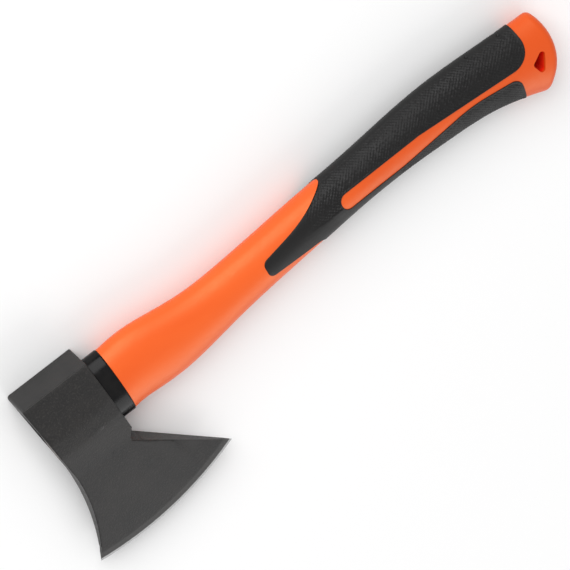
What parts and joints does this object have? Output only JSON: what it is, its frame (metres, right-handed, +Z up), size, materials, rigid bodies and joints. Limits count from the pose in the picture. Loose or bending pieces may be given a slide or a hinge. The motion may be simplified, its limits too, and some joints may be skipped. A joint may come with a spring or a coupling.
{
  "type": "hatchet",
  "caption": "Short one-hand axe: dark bearded steel head with a ground edge on a moulded orange handle with a black rubber grip and a hang hole.",
  "frame": {"origin": "centre of the base of the bounding box of the axe as it lies flat on one cheek", "axes": "+X along the handle from the head to the knob, +Y towards the flat poll with the cutting edge facing -Y, +Z up through the cheeks"},
  "size_m": [0.3975, 0.125, 0.027],
  "materials": {
    "head_steel": "satin dark lacquer over forged steel, with a bare ground strip at the edge",
    "core_rod": "rough pultruded glass fibre",
    "resin": "cast, dull",
    "collar_plastic": "glossy black",
    "handle_plastic": "satin orange",
    "grip_rubber": "matte black with a fine diamond texture on the back panel"
  },
  "bodies": {
    "root": {"axe_head": "head_steel", "handle_core": "core_rod", "eye_resin": "resin", "collar": "collar_plastic", "handle_shell": "handle_plastic", "grip": "grip_rubber"}
  },
  "joints": []
}
